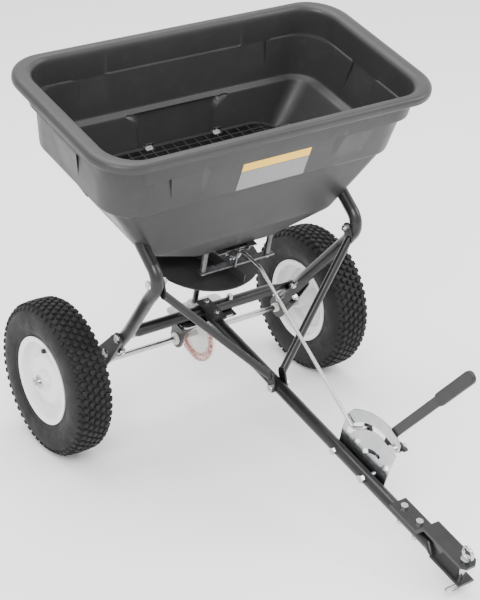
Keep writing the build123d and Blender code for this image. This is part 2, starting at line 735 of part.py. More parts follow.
def stop_knob():
    """Wing nut that locks the flow stop."""
    place = at_angle(pivot, slot_r, stop_angle)
    start = plate_x + plate_t + 7.3
    body = bar((start, *place), (1, 0, 0), 9, 9.5)
    for turn in (-1, 1):
        tip = (place[0] + turn * 15, place[1] + 6)
        body += strip(place, tip, 8, start + 2, 7)
    return body - bar((start - 1, *place), (1, 0, 0), 14, 4.0 + running_gap)


def flow_gate():
    """Sliding gate under the hopper floor, with a bent tab for the rod."""
    plate = block((-gate_half_w, gate_half_w), gate_y, (gate_z, gate_z + gate_t))
    tab = block((-6.5, -3.5), (gate_pin[0] - 13, gate_pin[0] + 13), (gate_pin[1] - 13, gate_z + 1))
    return plate + tab - bar((-10, *gate_pin), (1, 0, 0), 10, 7.0)


def guide_bolt_places():
    return [(s * 38.0, y) for s in (-1, 1) for y in (-108.0 + 20.0, -20.0)]


def gate_guide(side):
    """Angle strip that carries one edge of the gate."""
    x0 = gate_half_w + 0.4
    low = gate_z - 2.6
    xs = sorted((side * x0, side * 46.0))
    body = block(xs, (-106, -10), (gate_z + gate_t + 0.5, floor_z))
    web = sorted((side * x0, side * (x0 + 3)))
    body += block(web, (-106, -10), (low, floor_z))
    lip = sorted((side * (gate_half_w - 4), side * (x0 + 3)))
    body += block(lip, (-106, -10), (low, gate_z - 0.4))
    for x, y in guide_bolt_places():
        body -= bar((x, y, low - 1), (0, 0, 1), 12, 3.0)
    return body


def rail_bolt_places():
    return [(-58.0, rail_y), (98.0, rail_y)]


def cross_rail():
    """Flat bar slung under the hopper in front of the shaft."""
    rail = block((rail_x[0] - 16, rail_x[1]), (rail_y - 8, rail_y + 8), (rail_z - 4, rail_z))
    for x, y in rail_bolt_places():
        rail -= bar((x, y, rail_z - 5), (0, 0, 1), 8, 3.0)
    return rail


def rail_spacers():
    return group([bar((x, y, rail_z), (0, 0, 1), floor_z - rail_z, 6.0)
                  - bar((x, y, rail_z), (0, 0, 1), floor_z - rail_z, 3.0) for x, y in rail_bolt_places()])


# ---------------------------------------------------------------- hitch pin
def hitch_pin():
    """Drop pin with a ring head, and a cross hole for its clip."""
    low, high = hitch_pin_z
    body = bar((0, hitch_pin_y, low), (0, 0, 1), high - low, hitch_pin_r)
    body = chamfer(body.edges().filter_by(GeomType.CIRCLE).group_by(Axis.Z)[0], 1.5)
    collar_z = tongue_z + tube_r + strap_rise + strap_t + 0.3
    body += bar((0, hitch_pin_y, collar_z), (0, 0, 1), 4, 10.0)
    ring = Plane(origin=(0, hitch_pin_y, collar_z + 16), z_dir=(1, 0, 0)) * Torus(12.0, 3.0)
    body += ring
    return body - bar((-10, hitch_pin_y, low + 13), (1, 0, 0), 20, 1.6)


def pin_clip():
    """Spring ring through the pin's cross hole."""
    z = hitch_pin_z[0] + 13
    body = bar((-20, hitch_pin_y, z), (1, 0, 0), 34, 1.5)
    loop = bent_bar([(-20, hitch_pin_y, z), (-32, hitch_pin_y, z), (-34, hitch_pin_y - 8, z + 2),
                     (-26, hitch_pin_y - 14, z + 4), (0, hitch_pin_y - 11, z + 4),
                     (14, hitch_pin_y - 10, z + 4)], [5, 4, 6, 20], 1.5)
    return body + loop


# ---------------------------------------------------------------- fasteners
def carriage_bolts():
    """Round-headed bolts: through the knees, the axle plates and the hopper's saddles."""
    made = []
    top = saddle_start[1] + tube_r + wall
    for s in (-1, 1):
        made.append(carriage_bolt((s * (top_x + tube_r), *knee_bolt), (-s, 0, 0), 2 * tube_r + 4))
        for place in axle_plate_bolts():
            made.append(carriage_bolt((s * (foot_x + tube_r + 4), *place), (-s, 0, 0), 2 * tube_r + 4))
        for y in saddle_bolt_ys:
            made.append(carriage_bolt((s * top_x, y, top), (0, 0, -1), 2 * tube_r + wall))
    return group(made)


def behind_leg(distance):
    """Point (y, z) on the axis of the cross tube's end bolt, measured from the leg's centre."""
    return leg_y(cross_bolt_z) + distance * leg_back()[1], cross_bolt_z + distance * leg_back()[2]


def hex_bolts():
    """Hex bolts of the cross tube, gear brackets, tongue strap, control plate and hitch."""
    y, z = cross_center()
    ear_low = shaft_plate_z[0] - cheek_t
    strap_top = tongue_z + tube_r + 4.0
    jaw_top = tongue_z + tube_r + strap_t
    made = [bolt((s * foot_x, *behind_leg(tube_r + 4.0)), reverse(leg_back()), 2 * tube_r + 4) for s in (-1, 1)]
    made += [bolt((s * ear_bolt_x, y, ear_low), (0, 0, 1), z + tube_r - ear_low) for s in (-1, 1)]
    made.append(bolt((0, y, shaft_plate_z[0]), (0, 0, 1), strap_top - shaft_plate_z[0]))
    made.append(bolt((0, tongue_strap_bolt_y, tongue_z - tube_r), (0, 0, 1), 2 * tube_r + 4))
    made.append(bolt((-tube_r, *plate_bolt), (1, 0, 0), 2 * tube_r + plate_t + 0.3))
    made += [bolt((0, y, jaw_top), (0, 0, -1), 2 * tube_r + strap_t) for y in hitch_bolt_ys]
    return group(made)


def lock_nuts():
    """The nut of every frame bolt."""
    y, z = cross_center()
    strap_top = tongue_z + tube_r + 4.0
    made = [nut((0, y, strap_top), (0, 0, 1)), nut((0, tongue_strap_bolt_y, strap_top), (0, 0, 1))]
    made.append(nut((plate_x + plate_t, *plate_bolt), (1, 0, 0)))
    made += [nut((0, y, tongue_z - tube_r), (0, 0, -1)) for y in hitch_bolt_ys]
    for s in (-1, 1):
        made.append(nut((s * (top_x - tube_r - 4.0), *knee_bolt), (-s, 0, 0)))
        made.append(nut((s * ear_bolt_x, y, z + tube_r), (0, 0, 1)))
        made.append(nut((s * foot_x, *behind_leg(-tube_r)), reverse(leg_back())))
        made += [nut((s * (foot_x - tube_r), *p), (-s, 0, 0)) for p in axle_plate_bolts()]
        made += [nut((s * top_x, y, saddle_start[1] - tube_r), (0, 0, -1)) for y in saddle_bolt_ys]
    return group(made)


def junction_bolt():
    """Bolt and nut through both braces and the tongue."""
    reach = tube_r + 4.0
    start = (-reach, brace_low[0], tongue_z)
    return bolt(start, (1, 0, 0), 2 * reach) + nut((reach, *start[1:]), (1, 0, 0))


def floor_screws():
    """Screws up through the gate guides and the cross rail into the hopper floor."""
    top = floor_z + wall
    screws = [bolt((x, y, gate_z + gate_t + 0.5), (0, 0, 1), 9, 3.0, 10.0, 4.0) for x, y in guide_bolt_places()]
    screws += [bolt((x, y, rail_z - 4), (0, 0, 1), top - rail_z + 4, 3.0, 10.0, 8.0) for x, y in rail_bolt_places()]
    return group(screws)


def rod_cotter():
    """Split pin that keeps the rod in the lever's ear."""
    pin = at_angle(pivot, rod_pin_r, rod_pin_angle)
    x = lever_x + lever_t + 2.5
    return side_disc(pin, 6.5, x - 1.5, 1.2) - side_disc(pin, rod_r, x - 3, 5)


# ---------------------------------------------------------------- whole machine
def pieces():
    """Every piece by its node name, on the level machine."""
    made = {
        "hopper_shell": hopper_shell(), "hopper_grate": hopper_grate(), "grate_clips": grate_clips(),
        "cross_tube": cross_tube(), "tongue_tube": tongue_tube(), "tongue_strap": tongue_strap(),
        "hitch_strap": hitch_strap(), "axle": axle(), "axle_washers": axle_washers(),
        "axle_spacers": axle_spacers(), "axle_cotter_pins": axle_pins(), "crown_gear": crown_gear(),
        "gear_pin": gear_pin(), "pinion": pinion(), "upright_shaft": upright_shaft(),
        "impeller": impeller(), "impeller_pin": impeller_pin(), "agitator": agitator(),
        "shaft_bushings": group([shaft_bushing(230.0, 247.0, shaft_plate_z[1]),
                                 shaft_bushing(450.0, 462.0, floor_z + wall)]),
        "shaft_plate": shaft_plate(), "axle_bushings": group([axle_bushing(-1), axle_bushing(1), *centre_bushings()]),
        "gate_guides": group([gate_guide(-1), gate_guide(1)]),
        "control_plate": control_plate(), "control_lever": control_lever(), "lever_grip": lever_grip(),
        "lever_pivot_bolt": lever_pivot_bolt(), "control_rod": control_rod(), "rod_retainer": rod_cotter(),
        "stop_bolt": stop_bolt(), "stop_knob": stop_knob(), "flow_gate": flow_gate(),
        "cross_rail": cross_rail(), "rail_spacers": rail_spacers(), "hitch_pin": hitch_pin(),
        "hitch_pin_clip": pin_clip(), "carriage_bolts": carriage_bolts(), "hex_bolts": hex_bolts(),
        "lock_nuts": lock_nuts(), "floor_screws": floor_screws(), "brace_junction_bolt": junction_bolt(),
    }
    return made


def mirrored_pieces():
    """Pieces made once for each side. The left wheel runs free and the right one drives."""
    made = {}
    for side, name, wheel in ((-1, "left", "free_wheel"), (1, "right", "drive_wheel")):
        made[f"{name}_frame_tube"] = frame_tube(side)
        made[f"{name}_brace"] = brace(side)
        made[f"{name}_axle_plate"] = axle_plate(side)
        made[f"{name}_gear_bracket"] = gear_bracket(side)
        made[f"{wheel}_tyre"] = tyre(side)
        made[f"{wheel}_rim"] = rim(side)
        made[f"{wheel}_hub"] = hub(side)
        made[f"{wheel}_bushings"] = wheel_bushings(side)
        made[f"{wheel}_valve"] = valve_stem(side)
    return made


def stand(made):
    """Tip the machine nose-down about the axle and centre it over the origin."""
    lean = Pos(0, 0, wheel_radius) * Rot(nose_down, 0, 0) * Pos(0, 0, -wheel_radius)
    leaning = {name: lean * solid for name, solid in made.items()}
    whole = Compound(children=[Compound(children=list(s.solids())) for s in leaning.values()]).bounding_box()
    shift = Pos(-(whole.min.X + whole.max.X) / 2, -(whole.min.Y + whole.max.Y) / 2, -whole.min.Z)
    print("shift", shift.position, "size", whole.size)
    return {name: shift * solid for name, solid in leaning.items()}


os.makedirs("parts", exist_ok=True)
for name, solid in stand({**pieces(), **mirrored_pieces()}).items():
    export_step(solid, f"parts/{name}.step")
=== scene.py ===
import json
import math

import bmesh
import bpy
from bpy.props import FloatProperty, FloatVectorProperty, IntProperty
from mathutils import Matrix, Vector


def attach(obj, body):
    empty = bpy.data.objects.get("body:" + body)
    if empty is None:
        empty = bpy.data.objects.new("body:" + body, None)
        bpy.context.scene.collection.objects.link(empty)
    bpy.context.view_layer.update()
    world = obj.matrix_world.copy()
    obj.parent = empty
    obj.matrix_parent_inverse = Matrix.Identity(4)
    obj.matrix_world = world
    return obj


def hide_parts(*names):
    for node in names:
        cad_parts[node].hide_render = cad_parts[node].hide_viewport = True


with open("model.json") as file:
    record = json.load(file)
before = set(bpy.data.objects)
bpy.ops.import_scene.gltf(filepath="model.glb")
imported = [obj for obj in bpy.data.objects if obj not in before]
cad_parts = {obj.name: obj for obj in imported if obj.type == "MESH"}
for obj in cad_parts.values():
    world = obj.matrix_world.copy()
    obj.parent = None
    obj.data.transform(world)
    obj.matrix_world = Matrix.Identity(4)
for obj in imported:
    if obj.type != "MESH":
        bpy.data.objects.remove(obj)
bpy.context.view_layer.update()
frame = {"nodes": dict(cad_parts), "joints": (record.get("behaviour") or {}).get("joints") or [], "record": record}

bl_info = {
    "name": "Garden Spreader",
    "version": (1, 0, 0),
    "blender": (4, 5, 0),
    "location": "View3D > Sidebar > Spreader",
    "description": "Builds the visual model of a tow-behind broadcast spreader around its CAD frame",
    "category": "Object",
}

# The machine is drawn level, in millimetres, with the axle at y = 0, and stands leaning forward.
JOINTS = {joint["name"]: joint for joint in frame["joints"]}
AXLE = Vector(JOINTS["drive_axle_spin"]["pos_m"])
UPRIGHT = Vector(JOINTS["impeller_spin"]["axis"])
WHEEL_X = -JOINTS["free_wheel_spin"]["pos_m"][0]
LEAN = Matrix.Rotation(math.atan2(-UPRIGHT.y, UPRIGHT.z), 3, "X")
MM = 0.001


def stand(x, y, z):
    """Place of a point of the level machine, in metres, on the leaning one."""
    level = Vector((x * MM, y * MM, z * MM - AXLE.z))
    return AXLE + LEAN @ level


# ---------------------------------------------------------------- settings
class SPREADER_PG_hopper(bpy.types.PropertyGroup):
    """Sizes of the hopper."""

    lip_top: FloatProperty(
        name="Lip height", description="Top of the lip above the ground, in millimetres, machine level",
        default=781.0, min=700.0)
    wall: FloatProperty(
        name="Wall", description="Thickness of the moulded wall, in millimetres", default=4.0, min=2.0)
    rounding: FloatProperty(
        name="Rounding", description="How far each change of slope is rounded, in millimetres",
        default=5.0, min=1.0)
    spacing: FloatProperty(
        name="Spacing", description="Distance between points round the hopper, in millimetres",
        default=5.0, min=3.0)


class SPREADER_PG_tyre(bpy.types.PropertyGroup):
    """Sizes of the tyres."""

    radius: FloatProperty(
        name="Radius", description="Outer radius, in millimetres", default=160.0, min=100.0)
    width: FloatProperty(name="Width", description="Width, in millimetres", default=84.0, min=40.0)
    stud_rows: IntProperty(
        name="Stud rows", description="Rows of studs across the tread", default=5, min=1, max=7)
    studs_per_row: IntProperty(
        name="Studs in a row", description="Studs round the tyre", default=56, min=12)
    stud_size: FloatProperty(
        name="Stud size", description="Size across a stud, in millimetres", default=12.6, min=4.0)
    stud_height: FloatProperty(
        name="Stud height", description="Height of a stud, in millimetres", default=5.0, min=1.0)


class SPREADER_PG_finish(bpy.types.PropertyGroup):
    """Colours of the finishes."""

    hopper: FloatVectorProperty(
        name="Hopper", description="Moulded plastic of the hopper", subtype="COLOR", size=3,
        default=(0.027, 0.027, 0.028), min=0.0, max=1.0)
    frame_black: FloatVectorProperty(
        name="Frame", description="Powder coat of the frame", subtype="COLOR", size=3,
        default=(0.006, 0.006, 0.0065), min=0.0, max=1.0)
    wheel_white: FloatVectorProperty(
        name="Wheel", description="Enamel of the wheel rims", subtype="COLOR", size=3,
        default=(0.80, 0.80, 0.81), min=0.0, max=1.0)
    band: FloatVectorProperty(
        name="Label band", description="Coloured band of the blank label", subtype="COLOR", size=3,
        default=(0.80, 0.47, 0.012), min=0.0, max=1.0)


class SPREADER_PG_view(bpy.types.PropertyGroup):
    """Where the camera stands."""

    azimuth: FloatProperty(
        name="Azimuth", description="Camera bearing", subtype="ANGLE", default=math.radians(-35.496))
    elevation: FloatProperty(
        name="Elevation", description="Camera height angle", subtype="ANGLE", default=math.radians(25.527))
    distance: FloatProperty(
        name="Distance", description="Camera distance", subtype="DISTANCE", default=3.515, min=0.5)
    lens: FloatProperty(name="Lens", description="Focal length, in millimetres", default=101.94, min=10.0)


def settings(name):
    """The user's sizes or colours of one group."""
    return getattr(bpy.context.scene, "spreader_" + name)


# ---------------------------------------------------------------- materials
def add_node(tree, kind, inputs=None, **values):
    """A new node with its values set and its inputs linked or set."""
    made = tree.nodes.new(kind)
    for key, value in values.items():
        setattr(made, key, value)
    for key, value in (inputs or {}).items():
        if isinstance(value, bpy.types.NodeSocket):
            tree.links.new(value, made.inputs[key])
        else:
            made.inputs[key].default_value = value
    return made


class Shader:
    """A node material with a few short ways to add nodes."""

    def __init__(self, name, roughness=0.5, metallic=0.0, coat=0.0, specular=0.5):
        self.material = bpy.data.materials.new(name)
        self.material.use_nodes = True
        self.tree = self.material.node_tree
        self.surface = self.tree.nodes["Principled BSDF"]
        self.surface.inputs["Roughness"].default_value = roughness
        self.surface.inputs["Metallic"].default_value = metallic
        self.surface.inputs["Coat Weight"].default_value = coat
        self.surface.inputs["Coat Roughness"].default_value = 0.12
        self.surface.inputs["Specular IOR Level"].default_value = specular
        self.place = self.tree.nodes.new("ShaderNodeTexCoord").outputs["Object"]

    def node(self, kind, inputs=None, **values):
        return add_node(self.tree, kind, inputs, **values)

    def noise(self, scale, detail=4.0, roughness=0.55, stretch=None):
        place = self.place
        if stretch:
            place = self.node("ShaderNodeMapping", {"Vector": place, "Scale": stretch}).outputs["Vector"]
        made = self.node("ShaderNodeTexNoise", {
            "Vector": place, "Scale": scale, "Detail": detail, "Roughness": roughness})
        return made.outputs["Fac"]

    def spread(self, value, low, high, start=0.3, end=0.7):
        """A value carried from one range to another."""
        made = self.node("ShaderNodeMapRange", {
            "Value": value, "From Min": start, "From Max": end, "To Min": low, "To Max": high})
        return made.outputs["Result"]

    def blend(self, factor, first, second):
        made = self.node("ShaderNodeMix", data_type="RGBA")
        for index, value in ((0, factor), (6, first), (7, second)):
            if isinstance(value, bpy.types.NodeSocket):
                self.tree.links.new(value, made.inputs[index])
            else:
                made.inputs[index].default_value = value if index == 0 else (*value[:3], 1.0)
        return made.outputs[2]

    def bump(self, height, strength, distance, under=None):
        inputs = {"Height": height, "Strength": strength, "Distance": distance}
        if under:
            inputs["Normal"] = under
        return self.node("ShaderNodeBump", inputs).outputs["Normal"]

    def set(self, socket, output):
        self.tree.links.new(output, self.surface.inputs[socket])


def tinted(color, factor):
    return tuple(min(1.0, c * factor) for c in color)


def moulded_plastic(name, color, roughness, grain=0.16):
    """Moulded plastic: fine grain, faint flow marks and patches of dust."""
    shader = Shader(name, specular=0.34)
    flow = shader.noise(5.0, 3.0, 0.6, (1.0, 1.0, 0.35))
    dust = shader.noise(46.0, 6.0, 0.7)
    base = shader.blend(shader.spread(flow, 0.0, 1.0), tinted(color, 0.88), tinted(color, 1.14))
    dusty = shader.spread(dust, 0.0, 0.05, 0.55, 0.85)
    shader.set("Base Color", shader.blend(dusty, base, (0.30, 0.29, 0.28)))
    shader.set("Roughness", shader.spread(shader.noise(28.0), roughness - 0.05, roughness + 0.07))
    fine = shader.bump(shader.noise(1700.0, 2.0), grain, 0.0004)
    shader.set("Normal", shader.bump(flow, 0.10, 0.004, fine))
    return shader.material


def powder_coat(name, color):
    """Glossy black powder coat with a slight orange peel and rubbed spots."""
    shader = Shader(name, coat=0.18, specular=0.36)
    rub = shader.noise(60.0, 8.0, 0.7)
    worn = shader.spread(rub, 0.0, 0.5, 0.55, 0.8)
    shader.set("Base Color", shader.blend(worn, color, (0.020, 0.020, 0.021)))
    shader.set("Roughness", shader.spread(shader.noise(24.0, 5.0), 0.24, 0.40))
    shader.set("Normal", shader.bump(shader.noise(520.0, 2.0), 0.10, 0.0005))
    return shader.material


def zinc_plate(name):
    """Bright zinc plate: cool metal with a faint yellow and blue passivation and fine lines."""
    shader = Shader(name, metallic=1.0)
    tint = shader.noise(34.0, 3.0)
    cool = shader.blend(shader.spread(tint, 0.0, 1.0), (0.47, 0.49, 0.52), (0.60, 0.595, 0.57))
    cells = shader.node("ShaderNodeTexVoronoi", {"Vector": shader.place, "Scale": 260.0})
    spangle = shader.spread(cells.outputs["Distance"], 0.0, 0.10, 0.2, 0.7)
    shader.set("Base Color", shader.blend(spangle, cool, (0.36, 0.37, 0.39)))
    shader.set("Roughness", shader.spread(shader.noise(60.0, 5.0), 0.13, 0.22))
    shader.set("Normal", shader.bump(shader.noise(900.0, 3.0), 0.06, 0.0004))
    return shader.material


def shade_darkened_steel(name):
    """Dark grey steel in place of zinc, as painted shade under the hopper, with a brushed look and darker patches.
    """
    shader = Shader(name, metallic=1.0)
    patch = shader.noise(55.0, 6.0, 0.65)
    brushed = shader.noise(420.0, 3.0, 0.6, (1.0, 0.12, 1.0))
    patchy = shader.spread(patch, 0.0, 1.0)
    # Both tones are dark: painted shade for the place under the hopper; the patches between them fall at random.
    shader.set("Base Color", shader.blend(patchy, (0.10, 0.10, 0.105), (0.21, 0.21, 0.215)))
    shader.set("Roughness", shader.spread(patch, 0.26, 0.44))
    shader.set("Normal", shader.bump(brushed, 0.08, 0.0004))
    return shader.material


def enamel(name, color):
    """White baked enamel with a little road dust."""
    shader = Shader(name, coat=0.4, specular=0.5)
    dust = shader.noise(30.0, 7.0, 0.65)
    dusty = shader.spread(dust, 0.0, 0.5, 0.55, 0.85)
    shader.set("Base Color", shader.blend(dusty, color, (0.60, 0.59, 0.56)))
    shader.set("Roughness", shader.spread(shader.noise(16.0), 0.22, 0.36))
    shader.set("Normal", shader.bump(shader.noise(380.0, 2.0), 0.05, 0.0005))
    return shader.material


def rubber(name, color):
    """Moulded rubber: matt, with grey bloom and a fine skin."""
    shader = Shader(name, specular=0.22)
    bloom = shader.noise(22.0, 7.0, 0.7)
    grey = shader.spread(bloom, 0.0, 0.55, 0.42, 0.8)
    shader.set("Base Color", shader.blend(grey, color, (0.026, 0.0255, 0.025)))
    shader.set("Roughness", shader.spread(shader.noise(40.0), 0.5, 0.72))
    shader.set("Normal", shader.bump(shader.noise(1100.0, 3.0), 0.18, 0.0004))
    return shader.material


def nylon(name):
    """Natural white nylon, slightly waxy."""
    shader = Shader(name, specular=0.45)
    shader.surface.inputs["Subsurface Weight"].default_value = 0.12
    shader.surface.inputs["Subsurface Radius"].default_value = (0.004, 0.003, 0.002)
    cloud = shader.noise(40.0, 4.0)
    cloudy = shader.spread(cloud, 0.0, 1.0)
    shader.set("Base Color", shader.blend(cloudy, (0.84, 0.83, 0.79), (0.76, 0.75, 0.70)))
    shader.set("Roughness", shader.spread(shader.noise(120.0), 0.36, 0.52))
    shader.set("Normal", shader.bump(shader.noise(700.0), 0.06, 0.0004))
    return shader.material


def red_grease(name):
    """Thick red grease, wet and uneven."""
    shader = Shader(name, coat=0.7, specular=0.6)
    smear = shader.noise(190.0, 5.0, 0.6)
    mottled = shader.spread(smear, 0.0, 1.0, 0.42, 0.62)
    shader.set("Base Color", shader.blend(mottled, (0.25, 0.012, 0.010), (0.60, 0.36, 0.31)))
    shader.set("Roughness", shader.spread(smear, 0.14, 0.34))
    shader.set("Normal", shader.bump(smear, 0.5, 0.0012))
    return shader.material


def blank_label(name, band):
    """Printed film with a coloured band over a silver field, and no lettering."""
    shader = Shader(name, coat=0.25)
    place = shader.node("ShaderNodeUVMap", uv_map="label").outputs["UV"]
    label = shader.node("ShaderNodeSeparateXYZ", {"Vector": place}).outputs
    speck = shader.noise(700.0, 2.0)
    field = shader.blend(shader.spread(speck, 0.0, 1.0), (0.15, 0.15, 0.155), (0.20, 0.20, 0.205))
    upper = shader.node("ShaderNodeMath", {0: label["Y"], 1: 0.70}, operation="GREATER_THAN")
    sheen = shader.blend(label["X"], band, tinted(band, 1.12))
    printed = shader.blend(upper.outputs[0], field, sheen)
    line = shader.node("ShaderNodeMath", {0: label["Y"], 1: 0.69, 2: 0.012}, operation="COMPARE")
    shader.set("Base Color", shader.blend(line.outputs[0], printed, (0.035, 0.035, 0.037)))
    shader.set("Roughness", shader.spread(speck, 0.28, 0.36))
    shader.set("Normal", shader.bump(speck, 0.03, 0.0003))
    return shader.material


def finishes():
    """Every finish, made once."""
    if "hopper plastic" in bpy.data.materials:
        return {name: bpy.data.materials[name] for name in FINISH_NAMES}
    colors = settings("finish")
    made = [
        moulded_plastic("hopper plastic", tuple(colors.hopper), 0.38),
        moulded_plastic("black plastic", (0.018, 0.018, 0.019), 0.40, 0.10),
        powder_coat("black powder coat", tuple(colors.frame_black)),
        zinc_plate("bright zinc"),
        enamel("white enamel", tuple(colors.wheel_white)),
        rubber("tyre rubber", (0.009, 0.009, 0.0095)),
        rubber("valve rubber", (0.014, 0.014, 0.014)),
        nylon("white nylon"),
        red_grease("red grease"),
        blank_label("blank label", tuple(colors.band)),
        shade_darkened_steel("shade-darkened steel"),
    ]
    return {material.name: material for material in made}


FINISH_NAMES = (
    "hopper plastic", "black plastic", "black powder coat", "bright zinc", "white enamel",
    "tyre rubber", "valve rubber", "white nylon", "red grease", "blank label", "shade-darkened steel")
# Zinc pieces under the hopper, given the dark steel instead of bright zinc as painted shade.
SHADE_DARKENED_PIECES = ("cross_rail", "rail_spacers", "gate_guides", "flow_gate", "upright_shaft")
SLOT_FINISH = {
    "hopper_plastic": "hopper plastic", "black_plastic": "black plastic", "nylon": "white nylon",
    "black_paint": "black powder coat", "white_paint": "white enamel", "tyre_rubber": "tyre rubber",
    "valve_rubber": "valve rubber", "zinc": "bright zinc"}


# ---------------------------------------------------------------- mesh helpers
def new_piece(name, verts, faces, material, body, sharp=35.0):
    """A finished piece at the origin, smooth except at edges sharper than the angle."""
    mesh = bpy.data.meshes.new(name)
    mesh.from_pydata([tuple(v) for v in verts], [], faces)
    return finish_piece(name, mesh, material, body, sharp)


def finish_piece(name, mesh, material, body, sharp=35.0):
    """Merge and turn a mesh outwards, give it its finish, and hang it on its body."""
    work = bmesh.new()
    work.from_mesh(mesh)
    bmesh.ops.remove_doubles(work, verts=work.verts, dist=1e-6)
    bmesh.ops.recalc_face_normals(work, faces=work.faces)
    for face in work.faces:
        face.smooth = True
    for edge in work.edges:
        edge.smooth = len(edge.link_faces) == 2 and edge.calc_face_angle(0.0) < math.radians(sharp)
    work.to_mesh(mesh)
    work.free()
    mesh.materials.clear()
    mesh.materials.append(material)
    piece = bpy.data.objects.new(name, mesh)
    bpy.context.scene.collection.objects.link(piece)
    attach(piece, body)
    return piece


def loose_object(name, verts, faces):
    """A plain object for booleans, removed after use."""
    mesh = bpy.data.meshes.new(name)
    mesh.from_pydata([tuple(v) for v in verts], [], faces)
    work = bmesh.new()
    work.from_mesh(mesh)
    bmesh.ops.remove_doubles(work, verts=work.verts, dist=1e-6)
    bmesh.ops.recalc_face_normals(work, faces=work.faces)
    work.to_mesh(mesh)
    work.free()
    made = bpy.data.objects.new(name, mesh)
    bpy.context.scene.collection.objects.link(made)
    return made


def evaluated_mesh(obj):
    """Plain mesh of an object with its modifiers worked in."""
    depsgraph = bpy.context.evaluated_depsgraph_get()
    return bpy.data.meshes.new_from_object(obj.evaluated_get(depsgraph))


def discard(*objects):
    """Remove helper objects and their meshes."""
    for obj in objects:
        mesh = obj.data
        bpy.data.objects.remove(obj)
        if mesh and mesh.users == 0:
            bpy.data.meshes.remove(mesh)


def cut(target, tool):
    """Take the tool's shape out of the target's mesh."""
    modifier = target.modifiers.new("cut", "BOOLEAN")
    modifier.operation = "DIFFERENCE"
    modifier.solver = "MANIFOLD"
    modifier.object = tool
    mesh = evaluated_mesh(target)
    target.modifiers.remove(modifier)
    old = target.data
    target.data = mesh
    bpy.data.meshes.remove(old)


def joined(objects):
    """One loose object from several."""
    work = bmesh.new()
    for obj in objects:
        work.from_mesh(obj.data)
    mesh = bpy.data.meshes.new("joined")
    work.to_mesh(mesh)
    work.free()
    discard(*objects)
    made = bpy.data.objects.new("joined", mesh)
    bpy.context.scene.collection.objects.link(made)
    return made


def lathe(profile, center, direction, steps):
    """Points and faces of a closed profile of (distance along, radius) turned about an axis along X."""
    verts, faces = [], []
    count = len(profile)
    for i in range(steps):
        turn = 2 * math.pi * i / steps
        for along, radius in profile:
            verts.append(Vector((center[0] + direction * along * MM,
                                 center[1] + radius * MM * math.sin(turn),
                                 center[2] + radius * MM * math.cos(turn))))
    for i in range(steps):
        for j in range(count):
            a, b = i * count + j, i * count + (j + 1) % count
            c, d = ((i + 1) % steps) * count + (j + 1) % count, ((i + 1) % steps) * count + j
            faces.append((a, b, c, d))
    return verts, faces


def rounded(points, radius, steps=4):
    """A polyline of tuples with every corner between its two ends eased."""
    eased = [points[0]]
    for before, corner, after in zip(points, points[1:], points[2:]):
        first = step_towards(corner, before, radius)
        last = step_towards(corner, after, radius)
        for i in range(steps + 1):
            t = i / steps
            eased.append(tuple((1 - t) ** 2 * p + 2 * t * (1 - t) * q + t * t * r
                               for p, q, r in zip(first, corner, last)))
    eased.append(points[-1])
    return eased


def step_towards(start, end, distance):
    """The point a distance from the start, but never past the middle."""
    gap = math.dist(start, end)
    share = min(distance / gap, 0.49) if gap else 0.0
    return tuple(p + (q - p) * share for p, q in zip(start, end))


# ---------------------------------------------------------------- hopper
# Levels of the hopper: half width, half depth, corner radius, how far back its middle lies, height
FLOOR = (118.0, 94.0, 36.0, 0.0, 455.0)
SUMP = (227.0, 122.0, 30.0, 6.0, 505.0)
SLOPE = (313.0, 149.0, 38.0, 11.0, 629.0)
STEP = (331.0, 160.0, 64.0, 12.0, 635.0)
PANEL_TOP = (345.5, 173.5, 80.0, 12.0, 717.0)
SKIRT_FOOT = (350.0, 178.0, 63.0, 12.0, 717.0)
SKIRT = (352.0, 180.0, 64.0, 12.0, 775.0)
# The lip's edge, whose height comes from the settings
LIP = (385.0, 202.0, 81.0, 12.0)
# Radii of the lip's outer and inner roll
LIP_ROLL = 9.0
MOUTH_ROLL = 12.0
ROLL_STEPS = 8
CORNER_POINTS = 16
LEAST_CORNER = 6.0
# Height between levels, and how the wall panels start and are divided above the step
LEVEL_GAP = 5.0
PANEL_START = 0.3
PANEL_STEPS = 12
# Ends of the wall panels, as shares of the straight part of each wall
LONG_GAP = (0.56, 0.82)
SIDE_GAP = 0.37
# The rear wall's middle is pressed back between the two shelves
RECESS = {"half": 92.0, "round": 26.0, "top": 626.0, "low": 486.0, "depth": 10.5}
# The frame tubes under the hopper: distance out, radius, and (y, z) of the line they follow
TUBE_X = 236.0
TUBE_R = 12.7
TUBE_LINE = ((-240.0, 471.0), (-70.0, 554.3), (102.0, 554.3))
TUBE_BEND = 14.0
TUBE_ROOM = 0.4
SLOT_DEPTH = 150.0
# Opening the grain falls through: (low, high) along x, y and z
PORT = ((-18.0, 18.0), (-63.0, -39.0), (440.0, 470.0))
# The blank label on the front wall: (low, high) along x and z, and its distance off the wall
LABEL_X = (-69.0, 88.0)
LABEL_Z = (639.0, 705.0)
LABEL_GAP = 0.35


def straight_places(count, edges):
    """Places along one straight wall from 1 to -1, doubled at each panel edge."""
    tight = 0.007
    places = {round(1 - 2 * i / count, 5) for i in range(count)}
    places = {p for p in places if all(abs(p - e) > 2 * tight for e in edges)}
    places |= {e + d for e in edges for d in (-tight, tight)}
    return sorted(places, reverse=True)


def ring_places(spacing):
    """(wall, place) all round the hopper; corners are numbered and placed by angle."""
    long_edges = [s * e for s in (-1, 1) for e in LONG_GAP]
    long_side = straight_places(int(2 * (SKIRT[0] - SKIRT[2]) / spacing), long_edges)
    short_side = straight_places(int(2 * (SKIRT[1] - SKIRT[2]) / spacing), (-SIDE_GAP, SIDE_GAP))
    corner = [90.0 * i / CORNER_POINTS for i in range(CORNER_POINTS)]
    places = []
    for number, side in enumerate((long_side, short_side, long_side, short_side)):
        places += [("corner", number, angle) for angle in corner]
        places += [(("rear", "left", "front", "right")[number], number, p) for p in side]
    return places


